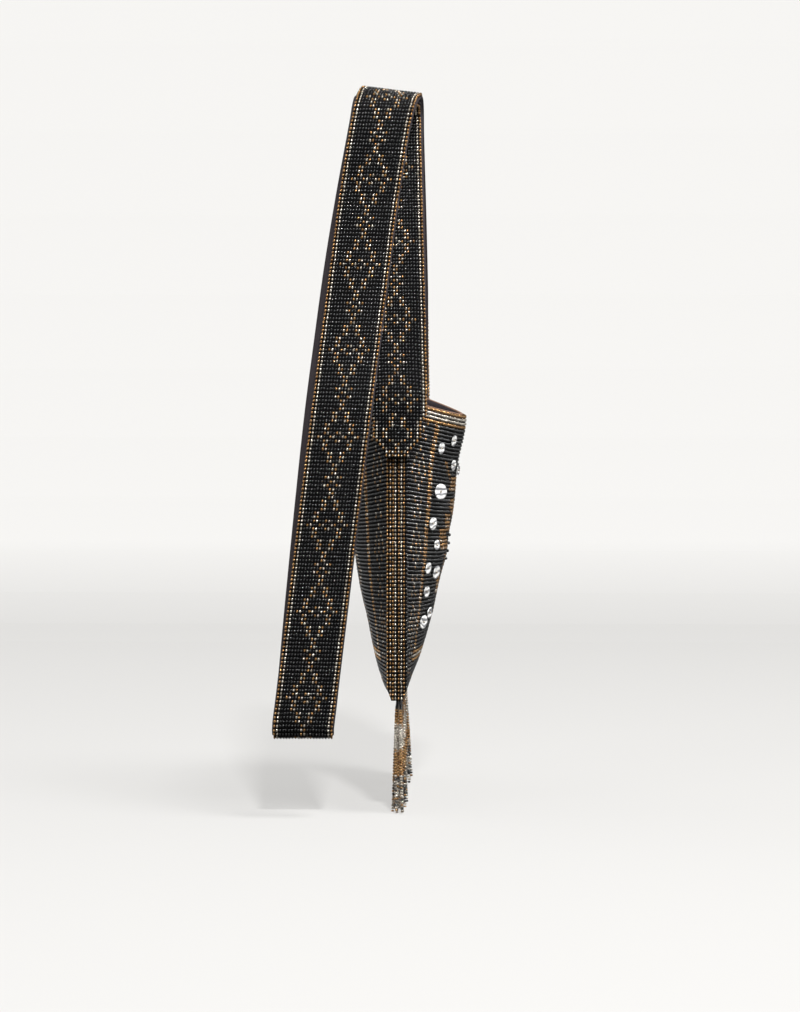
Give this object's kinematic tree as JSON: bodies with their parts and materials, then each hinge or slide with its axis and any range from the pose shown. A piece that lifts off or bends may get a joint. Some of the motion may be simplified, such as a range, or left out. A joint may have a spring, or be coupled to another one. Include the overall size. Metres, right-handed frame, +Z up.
{
  "type": "fringed shoulder bag",
  "caption": "Flat beaded shoulder pouch with an open mouth, a fringe along its lower edge and one wide beaded strap hanging folded over its support.",
  "frame": {"origin": "underside of the strap's inner bend, where the support carries the hanging bag", "axes": "+X across the bag's width towards the far side seam, -Y out of the front panel, +Z up"},
  "size_m": [0.2088, 0.1156, 0.4392],
  "materials": {
    "black_beads": "glossy opaque black glass seed beads",
    "bronze_beads": "glossy bronze-gold lustre on glass seed beads",
    "silver_beads": "silver-white lustre on glass seed beads",
    "paillettes": "pearly white round paillettes",
    "lining_cloth": "plain dark plum-grey woven cloth",
    "brown_thread": "brown thread binding",
    "bead_thread": "black thread that carries the beads"
  },
  "bodies": {
    "root": {"strap_beadwork": "black_beads", "strap_lining": "lining_cloth", "front_panel": "black_beads", "back_panel": "black_beads", "side_gusset_near": "bronze_beads", "side_gusset_far": "bronze_beads", "pouch_lining": "lining_cloth", "mouth_binding": "brown_thread", "fringe": "bronze_beads"}
  },
  "joints": []
}
